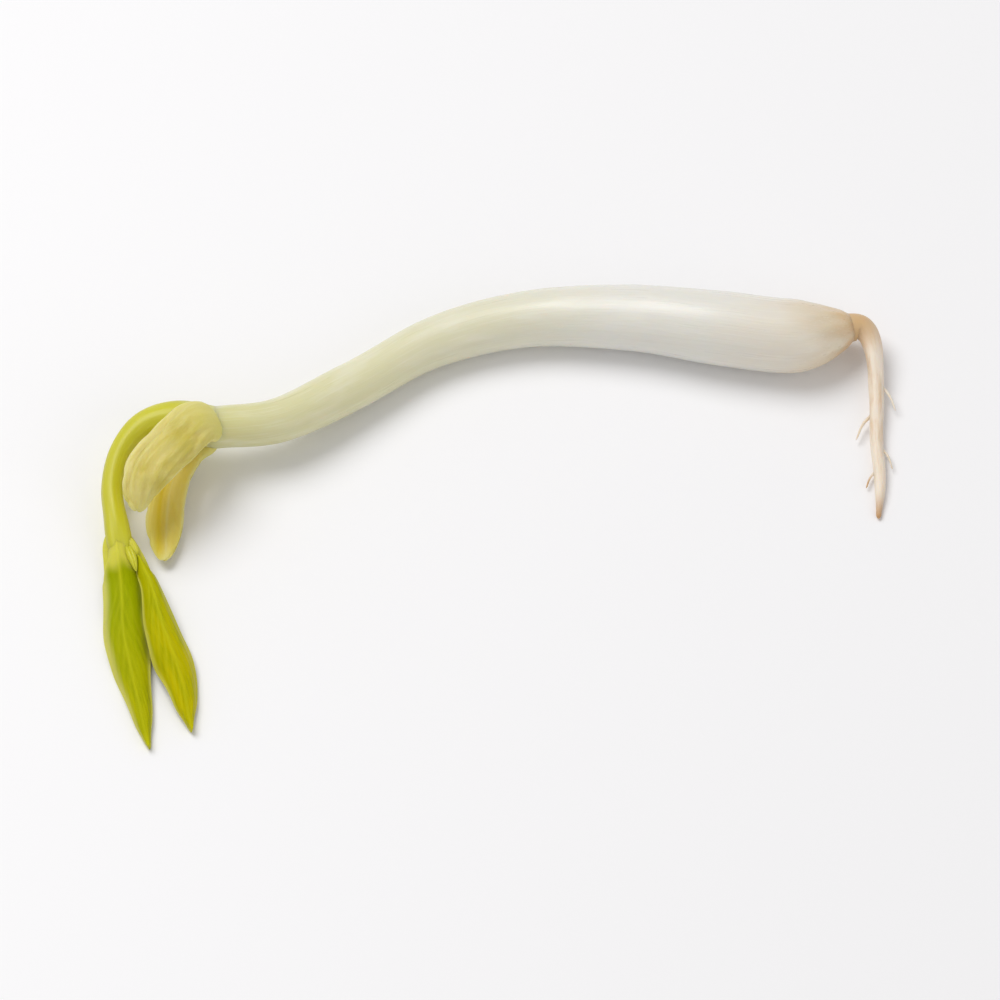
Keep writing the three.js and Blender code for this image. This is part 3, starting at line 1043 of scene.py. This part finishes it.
class SPROUT_OT_seed_leaves(bpy.types.Operator):
    """Grow the two shrivelled seed leaves, ridged outside and channelled inside"""

    bl_idname = "sprout.seed_leaves"
    bl_label = "Seed leaves"

    def execute(self, context):
        material = seed_leaf(context.scene.sprout_colours)
        for lobe in (UPPER_SEED_LEAF, LOWER_SEED_LEAF):
            self.lobe(context.scene.sprout_sizes, material, **lobe)
        return {"FINISHED"}

    def lobe(
        self,
        sizes,
        material,
        name,
        node,
        route,
        half_widths,
        half_thickness,
        channel,
        roll,
        rim,
        seed,
    ):
        guide = route_guide(route, roll)
        length = length_of(guide)
        width = profile(half_widths)

        def half_width(share):
            return width(share) * rounded(share, *SEED_LEAF_ENDS)

        def across(co):
            return co.y / MM / width(co.x / length)

        def hollow(co):
            cut = CHANNEL_DEPTH * bell(across(co) - channel, CHANNEL_WIDTH)
            kept = SEED_LEAF_INNER * (1 - cut)
            return max(0.0, -co.z / MM) * (1 - kept) * smooth(co.x / length, 0.0, 0.22)

        def furrows(co):
            if co.z < 0:
                return 0.0
            angle = math.atan2(co.z / half_thickness, co.y)
            angle += 0.25 * waver(co, size=1.4, stretch=2.0, seed=seed)
            run = smooth(co.z / MM, 0.1, 0.4) * smooth(co.x / length, 0.05, 0.3)
            return (0.5 - 0.5 * math.cos(SEED_LEAF_RIDGES * angle)) * run

        def rim_fold(co):
            share = co.x / length
            run = smooth(share, 0.08, 0.25) * smooth(share, 0.99, 0.85)
            return bell(across(co) - RIM_FOLD_AT * rim, RIM_FOLD_WIDTH) * run * (co.z > 0)

        def channel_line(co):
            line = bell(across(co) - channel + CHANNEL_LINE_AT, CHANNEL_LINE_WIDTH)
            line *= co.z < 0
            return line * smooth(co.x / length, 0.3, 0.5)

        def wrinkles(co):
            lines = crease(co, size=0.9, stretch=3.0, seed=seed)
            return lines * smooth(co.x / length, 0.05, 0.3)

        def marks(co):
            share, y = co.x / length, across(co)
            edge = smooth(y * rim, RIM_FOLD_AT, 0.95) if co.z > 0 else smooth(abs(y), 0.8, 1.0)
            tip = smooth(share, 0.9, 1.0)
            pale = max(edge, 0.7 * tip, 0.6 * channel_line(co))
            # Painted shade: olive darkening in the carved channel and in the relief creases, partly
            # the leaf's own olive tone.
            groove = bell(y - channel, CHANNEL_SHADE) * (co.z < 0) * smooth(share, 0.2, 0.4)
            deep = max(0.9 * groove * (1 - 0.6 * channel_line(co)), 0.2 * wrinkles(co))
            return (0.85 * pale, deep * (1 - 0.7 * pale), 0.8 * (co.z < 0))

        lobe = draw_rod(
            name,
            length,
            SEED_LEAF_MESH,
            SEED_LEAF_ENDS,
            half_width,
            lambda s: half_width(s) * half_thickness,
        )
        keep_pattern(lobe, "form", lambda co: (co.x / length, across(co), 0))
        keep_pattern(lobe, "marks", marks)
        keep_straight(lobe)
        relief(lobe, -sizes.seed_ridges, furrows)
        relief(lobe, -sizes.rim_fold, rim_fold)
        relief(lobe, -sizes.seed_creases, wrinkles)
        relief(lobe, MM, hollow, "Z")
        lay_along(lobe, guide)
        trim_at_table(lobe)
        finish_piece(lobe, node, material)


class SPROUT_OT_leaves(bpy.types.Operator):
    """Grow the first two leaves, half folded, with their midribs and veins"""

    bl_idname = "sprout.leaves"
    bl_label = "Leaves"

    def execute(self, context):
        material = leaf_blade(context.scene.sprout_colours)
        for leaf in (LEFT_LEAF, RIGHT_LEAF):
            self.leaf(context.scene.sprout_sizes, material, **leaf)
        return {"FINISHED"}

    def leaf(
        self,
        sizes,
        material,
        name,
        node,
        route,
        half_widths,
        camber,
        roll,
        outer,
        rim_lighting,
        blade_from,
        yellowing,
        seed,
    ):
        guide = route_guide(route, roll)
        length = length_of(guide)
        width = profile(half_widths)

        def half_width(share):
            return max(LEAF_TIP, width(share) * rounded(share, *LEAF_ENDS))

        def across(co):
            return co.y / MM / half_width(co.x / length)

        def round_off(co):
            return math.sqrt(max(0.0, 1 - across(co) ** 2))

        def petiole(co):
            return 1 - smooth(co.x / length, 0, PETIOLE_LENGTH)

        def midrib(co):
            return bell(co.y / MM, MIDRIB_WIDTH) * (1 - 0.5 * co.x / length)

        def side_veins(co):
            share, y = co.x / length, abs(across(co))
            shift = SIDE_VEIN_SHIFT if co.y > 0 else 0.0
            courses = [SIDE_VEIN_SLOPE * (share - at - shift) for at in SIDE_VEINS]
            vein = max(bell(y - course, SIDE_VEIN_WIDTH) for course in courses)
            return vein * smooth(y, 1.0, 0.75) * smooth(share, 0.1, 0.2)

        def bend(co):
            y = across(co)
            wave = LEAF_WAVE_HEIGHT * math.sin(2 * math.pi * LEAF_WAVES * co.x / length)
            wave += 0.06 * waver(co, size=1.2, stretch=2.0, seed=seed)
            belly = PETIOLE_UNDERSIDE * round_off(co) * rounded(co.x / length, *LEAF_ENDS)
            depth = LEAF_UNDERSIDE + (belly - LEAF_UNDERSIDE) * petiole(co)
            return wave * y * abs(y) * half_width(co.x / length) - camber * (co.y / MM) ** 2 - depth

        def thickness(co):
            edge = smooth(abs(across(co)), 0.35, 1.0)
            blade = sizes.blade + (sizes.margin - sizes.blade) * edge
            stalk = sizes.petiole * round_off(co) * rounded(co.x / length, *LEAF_ENDS)
            return max(LEAF_LEAST, (blade + (stalk - blade) * petiole(co)) / sizes.petiole)

        def marks(co):
            share, y = co.x / length, across(co) * outer
            veins = max(0.55 * midrib(co), 0.22 * side_veins(co))
            # The margin is painted rim light: the outer edge is paler, and the inner edge is
            # lightened against the shade of the curled blade.
            margin = max(rim_lighting[0] * smooth(y, 0.45, 0.9), rim_lighting[1] * smooth(-y, 0.75, 0.95))
            ragged = share + 0.02 * waver(co, size=0.4, stretch=2.0, seed=seed)
            return (veins, margin, 1 - smooth(ragged, blade_from - 0.02, blade_from + 0.05))

        leaf = draw_blade(name, length, LEAF_MESH, LEAF_ENDS, half_width)
        keep_pattern(leaf, "form", lambda co: (co.x / length, across(co) * outer, yellowing))
        keep_pattern(leaf, "marks", marks)
        keep_straight(leaf)
        relief(leaf, MM, bend, "Z")
        thick = leaf.vertex_groups.new(name="thickness")
        for vertex in leaf.data.vertices:
            thick.add([vertex.index], clamp(thickness(vertex.co)), "REPLACE")
        apply_modifier(
            leaf, "SOLIDIFY", thickness=sizes.petiole, offset=1.0, vertex_group=thick.name
        )
        leaf.vertex_groups.clear()
        relief(leaf, sizes.midrib, midrib)
        relief(leaf, sizes.veins, side_veins)
        lay_along(leaf, guide)
        trim_at_table(leaf)
        finish_piece(leaf, node, material)


class SPROUT_OT_bud(bpy.types.Operator):
    """Grow the shut bud in the fork of the two leaves"""

    bl_idname = "sprout.bud"
    bl_label = "Bud"

    def execute(self, context):
        guide = route_guide(BUD_ROUTE)
        length = length_of(guide)
        body = profile(BUD_RADII)

        def radius(share):
            return body(share) * rounded(share, *BUD_ENDS)

        def seam(co):
            return bell(co.y / MM, BUD_SEAM_WIDTH) * (co.z > 0)

        bud = draw_rod("bud", length, BUD_MESH, BUD_ENDS, radius, radius)
        keep_pattern(bud, "form", lambda co: (1.0, 0.3, 0))
        keep_straight(bud)
        relief(bud, -context.scene.sprout_sizes.bud_seam, seam)
        lay_along(bud, guide)
        finish_piece(bud, "terminal_bud", bpy.data.objects["shoot"].active_material)
        return {"FINISHED"}


# ---- Stage ---------------------------------------------------------------------------------------


class SPROUT_OT_stage(bpy.types.Operator):
    """Set the table, the soft lights and the camera"""

    bl_idname = "sprout.stage"
    bl_label = "Stage"

    def execute(self, context):
        settings = context.scene.sprout_stage
        self.table(settings)
        self.room(context.scene, settings)
        self.camera(context.scene, settings)
        return {"FINISHED"}

    def table(self, settings):
        bpy.ops.object.select_all(action="DESELECT")
        bpy.ops.mesh.primitive_plane_add(size=settings.table_size, location=(0, 0, 0))
        table = bpy.context.object
        table.name = "table"
        table.data.materials.append(table_top(settings.table_white))

    def room(self, scene, settings):
        world = bpy.data.worlds.new("room")
        world.use_nodes = True
        background = world.node_tree.nodes["Background"]
        background.inputs["Color"].default_value = (1, 1, 1, 1)
        background.inputs["Strength"].default_value = settings.room_light
        scene.world = world
        self.light("key", settings.key_power, **KEY_LIGHT)
        self.light("fill", settings.fill_power, **FILL_LIGHT)

    def light(self, name, power, size, at):
        bpy.ops.object.select_all(action="DESELECT")
        bpy.ops.object.light_add(type="AREA", location=at)
        light = bpy.context.object
        light.name = name
        light.data.energy = power
        light.data.shape = "DISK"
        light.data.size = size
        light.rotation_euler = Vector(at).to_track_quat("Z", "Y").to_euler()

    def camera(self, scene, settings):
        bpy.ops.object.select_all(action="DESELECT")
        bpy.ops.object.camera_add()
        camera = bpy.context.object
        camera.name = "camera"
        camera.data.lens = settings.lens
        camera.data.clip_start = CAMERA_CLIP
        width = SOLIDS_HIGH[0] - SOLIDS_LOW[0]
        distance = width / settings.framing * settings.lens / camera.data.sensor_width
        back, up = math.cos(settings.elevation), math.sin(settings.elevation)
        middle = Vector((0, 0, (SOLIDS_LOW[2] + SOLIDS_HIGH[2]) / 2))
        camera.location = middle + Vector((0, -back, up)) * distance
        camera.rotation_euler = (math.pi / 2 - settings.elevation, 0, 0)
        scene.camera = camera
        scene.view_settings.view_transform = "Standard"


# ---- Panel and registration ----------------------------------------------------------------------

GROWERS = (
    SPROUT_OT_stem,
    SPROUT_OT_root,
    SPROUT_OT_shoot,
    SPROUT_OT_seed_leaves,
    SPROUT_OT_leaves,
    SPROUT_OT_bud,
    SPROUT_OT_stage,
)


class SPROUT_PT_panel(bpy.types.Panel):
    """Lists what can be grown, with its sizes and colours"""

    bl_idname = "SPROUT_PT_panel"
    bl_label = "Mung bean sprout"
    bl_space_type = "VIEW_3D"
    bl_region_type = "UI"
    bl_category = "Sprout"

    def draw(self, context):
        for grower in GROWERS:
            self.layout.operator(grower.bl_idname)
        for title, group in (
            ("Sizes", context.scene.sprout_sizes),
            ("Colours", context.scene.sprout_colours),
            ("Stage", context.scene.sprout_stage),
        ):
            box = self.layout.box()
            box.label(text=title)
            for name in group.__annotations__:
                box.prop(group, name)


CLASSES = (SproutSizes, SproutColours, StageSettings, *GROWERS, SPROUT_PT_panel)


def register():
    for cls in CLASSES:
        bpy.utils.register_class(cls)
    bpy.types.Scene.sprout_sizes = PointerProperty(type=SproutSizes)
    bpy.types.Scene.sprout_colours = PointerProperty(type=SproutColours)
    bpy.types.Scene.sprout_stage = PointerProperty(type=StageSettings)


def unregister():
    del bpy.types.Scene.sprout_stage
    del bpy.types.Scene.sprout_colours
    del bpy.types.Scene.sprout_sizes
    for cls in reversed(CLASSES):
        bpy.utils.unregister_class(cls)


def main():
    register()
    bpy.ops.sprout.stem()
    bpy.ops.sprout.root()
    bpy.ops.sprout.shoot()
    bpy.ops.sprout.seed_leaves()
    bpy.ops.sprout.leaves()
    bpy.ops.sprout.bud()
    bpy.ops.sprout.stage()


if __name__ == "__main__":
    main()
